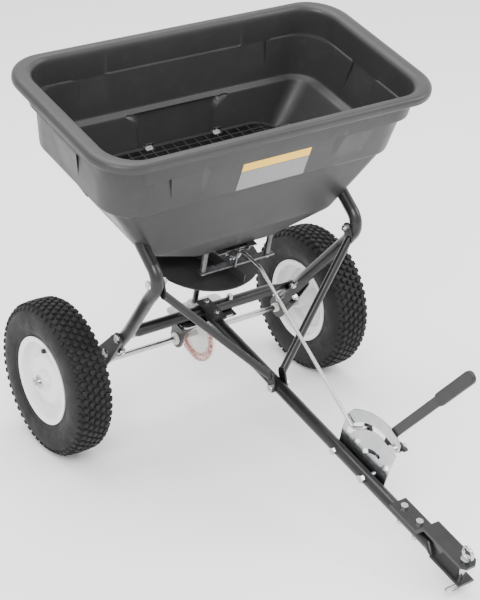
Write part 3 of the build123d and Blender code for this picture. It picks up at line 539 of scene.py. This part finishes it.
def ring_point(size, place):
    """Point (x, y) of a level at a place round it."""
    half_width, half_depth, r, back = size[:4]
    wall, number, t = place
    along, across = half_width - r, half_depth - r
    if wall == "corner":
        turn = math.radians(90.0 * number + t)
        cx = along if number in (0, 3) else -along
        cy = across if number in (0, 1) else -across
        return cx + r * math.cos(turn), cy + r * math.sin(turn) + back
    return {"rear": (along * t, back + half_depth), "left": (-half_width, back + across * t),
            "front": (-along * t, back - half_depth), "right": (half_width, back - across * t)}[wall]


def in_gap(place):
    """Whether a place lies between two of the raised wall panels."""
    wall, _, t = place
    if wall in ("rear", "front"):
        return LONG_GAP[0] < abs(t) < LONG_GAP[1]
    return wall in ("left", "right") and abs(t) < SIDE_GAP


def soft_step(value, edge, width):
    """0 below the edge, 1 above it, eased over the width."""
    t = min(1.0, max(0.0, (value - edge) / width + 0.5))
    return t * t * (3 - 2 * t)


def recess(x, z):
    """How far the rear wall is pressed back between the shelves."""
    rise = RECESS["round"] - (RECESS["top"] - z)
    rise = min(max(rise, 0.0), RECESS["round"])
    half = RECESS["half"] + RECESS["round"] - math.sqrt(RECESS["round"] ** 2 - rise ** 2)
    share = (1 - soft_step(abs(x), half, 7.0)) * (1 - soft_step(z, RECESS["top"] + 2.0, 5.0))
    return RECESS["depth"] * share * soft_step(z, RECESS["low"], 50.0)


def shrunk(level, inset, lift=0.0):
    """A level moved inwards and up."""
    half_width, half_depth, r, back, z = level
    return (half_width - inset, half_depth - inset, max(r - inset, LEAST_CORNER), back, z + lift)


def mixed(low, high, t):
    """Sizes part of the way from one level to another."""
    return tuple(p + (q - p) * t for p, q in zip(low, high))


def skin(levels, places, lift):
    """Closed body through pairs of levels, (panel, gap), from the floor up."""
    verts, faces = [], []
    count = len(places)
    for panel, gap in levels:
        for place in places:
            size = gap if in_gap(place) else panel
            x, y = ring_point(size, place)
            if place[0] == "rear":
                y += recess(x, size[4] - lift)
            verts.append(stand(x, y, size[4]))
    for i in range(len(levels) - 1):
        for j in range(count):
            k = (j + 1) % count
            faces.append((i * count + j, i * count + k, (i + 1) * count + k, (i + 1) * count + j))
    for ring_index, level in ((0, levels[0][0]), (len(levels) - 1, levels[-1][0])):
        middle = len(verts)
        verts.append(stand(0, level[3], level[4]))
        base = ring_index * count
        faces += [(base + j, base + (j + 1) % count, middle) for j in range(count)]
    return verts, faces


def between(levels, gap):
    """The levels with more put in wherever two lie further apart than the gap."""
    made = [levels[0]]
    for low, high in zip(levels, levels[1:]):
        parts = max(1, int(abs(high[4] - low[4]) / gap))
        made += [mixed(low, high, i / parts) for i in range(1, parts + 1)]
    return made


def wall_levels(inset, lift, rounding):
    """Pairs of levels from the floor to the skirt, for the outside or the inside."""
    lower = [shrunk(FLOOR, inset, lift), shrunk(SUMP, inset, lift / 2), shrunk(SLOPE, inset, lift),
             shrunk(STEP, inset, lift), shrunk(mixed(STEP, PANEL_TOP, PANEL_START), inset, lift)]
    eased = between(rounded(lower, rounding), LEVEL_GAP)
    pairs = [(level, level) for level in eased]
    start = eased[-1]
    panel_top = shrunk(PANEL_TOP, inset, lift)
    gap_top = shrunk(SKIRT_FOOT, inset, lift)
    for i in range(1, PANEL_STEPS + 1):
        share = i / PANEL_STEPS
        pairs.append((mixed(start, panel_top, share), mixed(start, gap_top, share)))
    foot = shrunk(SKIRT_FOOT, inset, lift + 1.2)
    shoulder = mixed(panel_top, foot, 0.65)
    pairs += [((*shoulder[:4], panel_top[4] + 0.3), (*gap_top[:4], gap_top[4] + 0.3)), (foot, foot)]
    return pairs


def flange(share):
    """Level size part of the way from the skirt to the lip's edge."""
    return mixed(SKIRT[:4], LIP[:4], share)


def outer_levels(sizes):
    """Outside of the hopper: walls, skirt, and the lip turned out and down."""
    top = sizes.lip_top
    pairs = wall_levels(0.0, 0.0, sizes.rounding)
    skirt = [(*SKIRT[:4], 740.0), (*SKIRT[:4], 771.0), (*flange(0.08), 774.0), (*flange(0.16), 775.0)]
    edge = [(0.78, 775.0), (0.8, 764.5), (0.84, 763.0), (0.93, 763.0), (0.98, 764.6), (1.0, 767.0),
            (1.0, top - LIP_ROLL)]
    lip = [(*flange(share), z) for share, z in edge]
    for i in range(1, ROLL_STEPS + 1):
        turn = math.pi / 2 * i / ROLL_STEPS
        share = 1.0 - 0.42 * (1 - math.cos(turn))
        lip.append((*flange(share), top - LIP_ROLL + LIP_ROLL * math.sin(turn)))
    return pairs + [(level, level) for level in skirt + lip]


def inner_levels(sizes):
    """Inside of the hopper, one wall in, opening over the lip's inner roll."""
    top = sizes.lip_top
    pairs = wall_levels(sizes.wall, sizes.wall, sizes.rounding)
    inner = shrunk(SKIRT, sizes.wall)
    mouth = [(*inner[:4], top - 16.0)]
    for i in range(1, ROLL_STEPS + 1):
        turn = math.pi / 2 * i / ROLL_STEPS
        share = -sizes.wall / (LIP[0] - SKIRT[0]) + 0.5 * (1 - math.cos(turn))
        mouth.append((*flange(share), top - MOUTH_ROLL + MOUTH_ROLL * math.sin(turn)))
    above = top + 2.0
    mouth.append((*mouth[-1][:4], above))
    return pairs + [(level, level) for level in mouth]


def saddle_solid(side, radius, name):
    """Room for a frame tube under the hopper: a round-topped slot that follows the tube."""
    path = rounded(TUBE_LINE, TUBE_BEND, 6)
    steps = 14
    arch = [(-radius * math.cos(math.pi * i / steps), radius * math.sin(math.pi * i / steps))
            for i in range(steps + 1)]
    section = [(-radius, -SLOT_DEPTH), *arch, (radius, -SLOT_DEPTH)]
    verts, faces = [], []
    for y, z in path:
        verts += [stand(side * TUBE_X + across, y, z + up) for across, up in section]
    count = len(section)
    for i in range(len(path) - 1):
        for j in range(count):
            k = (j + 1) % count
            faces.append((i * count + j, i * count + k, (i + 1) * count + k, (i + 1) * count + j))
    faces.append(tuple(range(count)))
    faces.append(tuple(range((len(path) - 1) * count, len(path) * count)))
    return loose_object(name, verts, faces)


def prism(name, x, y, z):
    """Plain block of the level machine, for cutting."""
    corners = [stand(x[i], y[j], z[k]) for i in (0, 1) for j in (0, 1) for k in (0, 1)]
    faces = [(0, 1, 3, 2), (4, 6, 7, 5), (0, 4, 5, 1), (2, 3, 7, 6), (0, 2, 6, 4), (1, 5, 7, 3)]
    return loose_object(name, corners, faces)


class SPREADER_OT_hopper(bpy.types.Operator):
    """Make the moulded hopper with its rolled lip, panels and tube channels"""

    bl_idname = "spreader.hopper"
    bl_label = "Hopper"

    def execute(self, context):
        sizes = settings("hopper")
        places = ring_places(sizes.spacing)
        outer = loose_object("hopper", *skin(outer_levels(sizes), places, 0.0))
        inner = loose_object("hopper_inside", *skin(inner_levels(sizes), places, sizes.wall))
        for side in (-1, 1):
            housing = saddle_solid(side, TUBE_R + sizes.wall, "housing")
            cut(inner, housing)
            discard(housing)
        cut(outer, inner)
        channels = joined([saddle_solid(side, TUBE_R + TUBE_ROOM, "channel") for side in (-1, 1)])
        cut(outer, channels)
        port = prism("port", *PORT)
        cut(outer, port)
        discard(port, inner, channels)
        mesh = outer.data.copy()
        discard(outer)
        plastic = finishes()["hopper plastic"]
        piece = finish_piece("hopper_moulding", mesh, plastic, "chassis", 40.0)
        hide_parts("hopper_shell")
        return {"FINISHED"}


class SPREADER_OT_label(bpy.types.Operator):
    """Stick the blank label on the hopper's front wall"""

    bl_idname = "spreader.label"
    bl_label = "Label"

    def execute(self, context):
        columns, rows = 30, 12
        verts, faces, places = [], [], []
        for row in range(rows + 1):
            z = LABEL_Z[0] + (LABEL_Z[1] - LABEL_Z[0]) * row / rows
            y = self.wall_y(z) - LABEL_GAP
            for column in range(columns + 1):
                x = LABEL_X[0] + (LABEL_X[1] - LABEL_X[0]) * column / columns
                verts.append(stand(x, y, z))
                places.append((column / columns, row / rows))
        for row in range(rows):
            for column in range(columns):
                a = row * (columns + 1) + column
                faces.append((a, a + 1, a + columns + 2, a + columns + 1))
        mesh = bpy.data.meshes.new("hopper_label")
        mesh.from_pydata([tuple(v) for v in verts], [], faces)
        layer = mesh.uv_layers.new(name="label")
        for loop in mesh.loops:
            layer.data[loop.index].uv = places[loop.vertex_index]
        finish_piece("hopper_label", mesh, finishes()["blank label"], "chassis")
        return {"FINISHED"}

    @staticmethod
    def wall_y(z):
        """Where the front wall's middle panel lies at a height."""
        share = (z - STEP[4]) / (PANEL_TOP[4] - STEP[4])
        _, half_depth, _, back, _ = mixed(STEP, PANEL_TOP, share)
        return back - half_depth


# ---------------------------------------------------------------- tyres
TYRE_STEPS = 160
# The tread: width left to both shoulders, how it curves down, and degrees a stud leans per millimetre
TREAD_MARGIN = 24.0
TREAD_CURVE = 0.0022
TREAD_LEAN = 0.35
# The row of smaller studs on each shoulder
SHOULDER_INSET = 7.5
SHOULDER_DROP = 6.5
SHOULDER_LEAN = math.radians(48)
SHOULDER_SIZE = 0.92
SHOULDER_HEIGHT = 0.8


def stud_mesh(size, height):
    """Tapered six-sided stud with an eased top, its foot sunk a little."""
    verts, faces = [], []
    rings = ((-2.0, 1.08), (height - 1.2, 0.94), (height - 0.3, 0.86), (height, 0.74))
    sides = 6
    for z, share in rings:
        for i in range(sides):
            turn = 2 * math.pi * i / sides
            radius = size / 2 * share
            verts.append((radius * math.cos(turn) * MM, radius * math.sin(turn) * MM, z * MM))
    for low in range(0, sides * (len(rings) - 1), sides):
        for i in range(sides):
            k = (i + 1) % sides
            faces.append((low + i, low + k, low + sides + k, low + sides + i))
    faces.append(tuple(range(sides * (len(rings) - 1), sides * len(rings))))
    faces.append(tuple(reversed(range(sides))))
    mesh = bpy.data.meshes.new("stud")
    mesh.from_pydata(verts, [], faces)
    stud = bpy.data.objects.new("stud", mesh)
    bpy.context.scene.collection.objects.link(stud)
    return stud


def ring_sockets(tree):
    """The sizes that a ring of copies is given, and its result."""
    def add(label, kind, way="INPUT"):
        tree.interface.new_socket(label, in_out=way, socket_type="NodeSocket" + kind)

    add("Geometry", "Geometry")
    add("Shape", "Object")
    add("Count", "Int")
    for label in ("Radius", "Along", "Tilt", "Start"):
        add(label, "Float")
    add("Geometry", "Geometry", "OUTPUT")


def ring_tree(name, material):
    """Geometry nodes: copies of a shape round an axis along X, standing outwards."""
    tree = bpy.data.node_groups.new(name, "GeometryNodeTree")
    ring_sockets(tree)
    source = tree.nodes.new("NodeGroupInput").outputs

    def node(kind, inputs=None, **values):
        return add_node(tree, kind, inputs, **values).outputs

    def maths(operation, first, second=0.0):
        return node("ShaderNodeMath", {0: first, 1: second}, operation=operation)[0]

    share = maths("DIVIDE", node("GeometryNodeInputIndex")[0], source["Count"])
    turn = maths("ADD", maths("MULTIPLY", share, 2 * math.pi), source["Start"])
    place = node("ShaderNodeCombineXYZ", {
        "X": source["Along"],
        "Y": maths("MULTIPLY", maths("SINE", turn), source["Radius"]),
        "Z": maths("MULTIPLY", maths("COSINE", turn), source["Radius"])})
    outwards = node("ShaderNodeCombineXYZ", {"X": maths("MULTIPLY", turn, -1.0)})
    lean = node("ShaderNodeCombineXYZ", {"Y": source["Tilt"]})
    rotation = node("FunctionNodeRotateRotation", {"Rotation": outwards[0], "Rotate By": lean[0]},
                    rotation_space="LOCAL")
    line = node("GeometryNodeMeshLine", {"Count": source["Count"], "Offset": (0, 0, 0)})
    points = node("GeometryNodeSetPosition", {"Geometry": line["Mesh"], "Position": place[0]})
    shape = node("GeometryNodeObjectInfo", {"Object": source["Shape"]})
    copies = node("GeometryNodeInstanceOnPoints", {
        "Points": points["Geometry"], "Instance": shape["Geometry"], "Rotation": rotation[0]})
    real = node("GeometryNodeRealizeInstances", {0: copies[0]})
    painted = node("GeometryNodeSetMaterial", {0: real[0], "Material": material})
    add_node(tree, "NodeGroupOutput", {0: painted[0]})
    return tree


def ring_copies(tree, values):
    """Plain mesh of a ring of copies."""
    carrier = loose_object("carrier", [(0, 0, 0)], [])
    modifier = carrier.modifiers.new("ring", "NODES")
    modifier.node_group = tree
    for item in tree.interface.items_tree:
        if item.in_out == "INPUT" and item.name in values:
            modifier[item.identifier] = values[item.name]
    mesh = evaluated_mesh(carrier)
    carrier.modifiers.remove(modifier)
    discard(carrier)
    return mesh


def tyre_profile(sizes):
    """Cross-section of the carcass: (distance from the middle, radius), a closed loop."""
    half = sizes.width / 2
    crown = sizes.radius - sizes.stud_height
    outside = [(30.0, 84.0), (33.0, 92.0), (35.0, 96.0), (36.2, 98.5), (36.2, 101.0), (38.5, 104.0),
               (half - 1.2, 112.0), (half, 122.0), (half - 0.6, 132.0), (half - 2.0, 139.0),
               (half - 5.5, crown - 7.0), (half - 12.0, crown - 2.6), (half - 22.0, crown - 0.6),
               (0.0, crown)]
    mirrored = [(-along, radius) for along, radius in reversed(outside[:-1])]
    inside = [(-28.0, 84.0), (-28.0, 92.0), (-33.0, 118.0), (-26.0, 141.0), (0.0, 147.0),
              (26.0, 141.0), (33.0, 118.0), (28.0, 92.0), (28.0, 84.0)]
    return rounded(outside + mirrored, 2.0, 2) + inside


class SPREADER_OT_tyres(bpy.types.Operator):
    """Make both stud tyres"""

    bl_idname = "spreader.tyres"
    bl_label = "Tyres"

    def execute(self, context):
        sizes = settings("tyre")
        tree = ring_tree("stud ring", finishes()["tyre rubber"])
        stud = stud_mesh(sizes.stud_size, sizes.stud_height)
        shoulder = stud_mesh(sizes.stud_size * SHOULDER_SIZE, sizes.stud_height * SHOULDER_HEIGHT)
        rows = self.tread_rows(sizes, stud) + self.shoulder_rows(sizes, shoulder)
        for side, wheel, body in ((-1, "free_wheel", "free_wheel"), (1, "drive_wheel", "drive_axle")):
            center = Vector((side * WHEEL_X, AXLE.y, AXLE.z))
            mesh = self.tyre_mesh(sizes, tree, rows, center, side)
            piece = finish_piece(
                wheel + "_stud_tyre", mesh, finishes()["tyre rubber"], body, 30.0)
            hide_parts(wheel + "_tyre")
        discard(stud, shoulder)
        return {"FINISHED"}

    @staticmethod
    def tread_rows(sizes, stud):
        """(shape, distance along the axle, radius, tilt, share of a step turned) of each row."""
        crown = sizes.radius - sizes.stud_height
        step = (sizes.width - TREAD_MARGIN) / sizes.stud_rows
        rows = []
        for row in range(sizes.stud_rows):
            along = (row - (sizes.stud_rows - 1) / 2) * step
            drop = TREAD_CURVE * along * along
            rows.append((stud, along, crown - drop, math.radians(along * TREAD_LEAN), row % 2))
        return rows

    @staticmethod
    def shoulder_rows(sizes, shoulder):
        """The same for the leaning row on each shoulder."""
        along = sizes.width / 2 - SHOULDER_INSET
        radius = sizes.radius - sizes.stud_height - SHOULDER_DROP
        return [(shoulder, edge * along, radius, edge * SHOULDER_LEAN, 0.5) for edge in (-1, 1)]

    @staticmethod
    def tyre_mesh(sizes, tree, rows, center, side):
        """Carcass and studs of one wheel in one mesh."""
        carcass = loose_object("carcass", *lathe(tyre_profile(sizes), center, side, TYRE_STEPS))
        work = bmesh.new()
        work.from_mesh(carcass.data)
        discard(carcass)
        for shape, along, radius, tilt, offset in rows:
            ring = ring_copies(tree, {
                "Shape": shape, "Count": sizes.studs_per_row, "Radius": radius * MM, "Along": along * MM,
                "Tilt": tilt, "Start": math.pi * offset / sizes.studs_per_row})
            ring.transform(Matrix.Translation(center))
            work.from_mesh(ring)
            bpy.data.meshes.remove(ring)
        mesh = bpy.data.meshes.new("tyre")
        work.to_mesh(mesh)
        work.free()
        return mesh


# ---------------------------------------------------------------- small pieces
GREASE_STEPS = 144
# Section of the grease on the gear's face: (distance along the axle, radius)
GREASE = ((17.3, 62.6), (14.2, 63.2), (12.9, 60.5), (12.5, 56.0), (12.9, 51.0), (14.6, 47.4), (17.3, 46.4))


def uneven(turn, size):
    """A smooth wandering value round a ring, between about -1 and 1 times the size."""
    waves = 0.5 * math.sin(5 * turn + 0.7) + 0.3 * math.sin(11 * turn + 2.1) + 0.2 * math.sin(23 * turn)
    return size * waves


class SPREADER_OT_grease(bpy.types.Operator):
    """Smear red grease over the crown gear's teeth"""

    bl_idname = "spreader.grease"
    bl_label = "Gear Grease"

    def execute(self, context):
        count = len(GREASE)
        verts, faces = [], []
        for i in range(GREASE_STEPS):
            turn = 2 * math.pi * i / GREASE_STEPS
            for j, (along, radius) in enumerate(GREASE):
                edge = j in (0, count - 1)
                x = along - (0.0 if edge else 0.4 + uneven(turn + 0.3 * j, 0.8))
                r = radius + uneven(1.7 * turn + j, 0.9)
                y = AXLE.y + r * MM * math.sin(turn)
                verts.append(Vector((x * MM, y, AXLE.z + r * MM * math.cos(turn))))
        for i in range(GREASE_STEPS):
            k = (i + 1) % GREASE_STEPS
            faces += [(i * count + j, i * count + (j + 1) % count, k * count + (j + 1) % count, k * count + j)
                      for j in range(count)]
        new_piece("gear_grease", verts, faces, finishes()["red grease"], "drive_axle", 60.0)
        return {"FINISHED"}


# ---------------------------------------------------------------- finishes of the CAD pieces
class SPREADER_OT_finishes(bpy.types.Operator):
    """Give every CAD piece its finish"""

    bl_idname = "spreader.finishes"
    bl_label = "Finishes"

    def execute(self, context):
        made = finishes()
        slots = {entry["node"]: entry["material_slot"] for entry in frame["record"]["subparts"]}
        for name, obj in frame["nodes"].items():
            # Pieces under the hopper get the dark steel as painted shade; the rest take their slot's finish.
            finish = "shade-darkened steel" if name in SHADE_DARKENED_PIECES else SLOT_FINISH[slots[name]]
            obj.data.materials.clear()
            obj.data.materials.append(made[finish])
        return {"FINISHED"}


# What the camera looks at, in metres: across, behind the axle, and above the ground
VIEW_TARGET = (0.0774, -0.0743, 0.2469)


class SPREADER_OT_stage(bpy.types.Operator):
    """Set the floor, the lights and the camera"""

    bl_idname = "spreader.stage"
    bl_label = "Stage"

    def execute(self, context):
        self.floor()
        self.lights()
        self.camera()
        return {"FINISHED"}

    @staticmethod
    def floor():
        reach = 30
        corners = [(-reach, -reach, 0), (reach, -reach, 0), (reach, reach, 0), (-reach, reach, 0)]
        mesh = bpy.data.meshes.new("floor")
        mesh.from_pydata(corners, [], [(0, 1, 2, 3)])
        shader = Shader("pale floor", roughness=0.7, specular=0.2)
        cloudy = shader.spread(shader.noise(0.8, 2.0), 0.0, 1.0)
        shader.set("Base Color", shader.blend(cloudy, (0.93, 0.93, 0.93), (0.96, 0.96, 0.96)))
        mesh.materials.append(shader.material)
        plane = bpy.data.objects.new("floor", mesh)
        bpy.context.scene.collection.objects.link(plane)

    @staticmethod
    def lights():
        world = bpy.data.worlds.new("studio")
        world.use_nodes = True
        background = world.node_tree.nodes["Background"]
        background.inputs["Color"].default_value = (1, 1, 1, 1)
        background.inputs["Strength"].default_value = 1.7
        bpy.context.scene.world = world
        middle = Vector((0, 0, 0.35))
        lamps = (("key", (-2.2, -2.4, 3.4), 2.0, 150.0), ("fill", (2.8, -1.6, 2.4), 1.8, 60.0),
                 ("top", (0.2, 0.6, 3.6), 2.6, 110.0))
        for name, place, size, power in lamps:
            light = bpy.data.lights.new(name, "AREA")
            light.energy = power
            light.size = size
            lamp = bpy.data.objects.new(name, light)
            lamp.location = place
            lamp.rotation_euler = (middle - Vector(place)).to_track_quat("-Z", "Y").to_euler()
            bpy.context.scene.collection.objects.link(lamp)

    @staticmethod
    def camera():
        view = settings("view")
        target = Vector((VIEW_TARGET[0], AXLE.y + VIEW_TARGET[1], VIEW_TARGET[2]))
        back = Vector((math.sin(view.azimuth) * math.cos(view.elevation),
                       -math.cos(view.azimuth) * math.cos(view.elevation), math.sin(view.elevation)))
        data = bpy.data.cameras.new("camera")
        data.lens = view.lens
        data.sensor_width = 36.0
        camera = bpy.data.objects.new("camera", data)
        camera.location = target + back * view.distance
        camera.rotation_euler = (-back).to_track_quat("-Z", "Y").to_euler()
        bpy.context.scene.collection.objects.link(camera)
        bpy.context.scene.camera = camera


class SPREADER_PT_panel(bpy.types.Panel):
    """The spreader's pieces and sizes"""

    bl_idname = "SPREADER_PT_panel"
    bl_label = "Garden Spreader"
    bl_space_type = "VIEW_3D"
    bl_region_type = "UI"
    bl_category = "Spreader"

    def draw(self, context):
        for operator in OPERATORS:
            self.layout.operator(operator.bl_idname)
        for name, kind in GROUPS.items():
            box = self.layout.box()
            for key in kind.__annotations__:
                box.prop(settings(name), key)


GROUPS = {"hopper": SPREADER_PG_hopper, "tyre": SPREADER_PG_tyre, "finish": SPREADER_PG_finish,
          "view": SPREADER_PG_view}
OPERATORS = (SPREADER_OT_stage, SPREADER_OT_finishes, SPREADER_OT_hopper, SPREADER_OT_label,
             SPREADER_OT_tyres, SPREADER_OT_grease)


def register():
    for kind in (*GROUPS.values(), *OPERATORS, SPREADER_PT_panel):
        bpy.utils.register_class(kind)
    for name, kind in GROUPS.items():
        setattr(bpy.types.Scene, "spreader_" + name, bpy.props.PointerProperty(type=kind))


def unregister():
    for name in GROUPS:
        delattr(bpy.types.Scene, "spreader_" + name)
    for kind in reversed((*GROUPS.values(), *OPERATORS, SPREADER_PT_panel)):
        bpy.utils.unregister_class(kind)


def main():
    register()
    for operator in OPERATORS:
        group, name = operator.bl_idname.split(".")
        getattr(getattr(bpy.ops, group), name)()


if __name__ == "__main__":
    main()
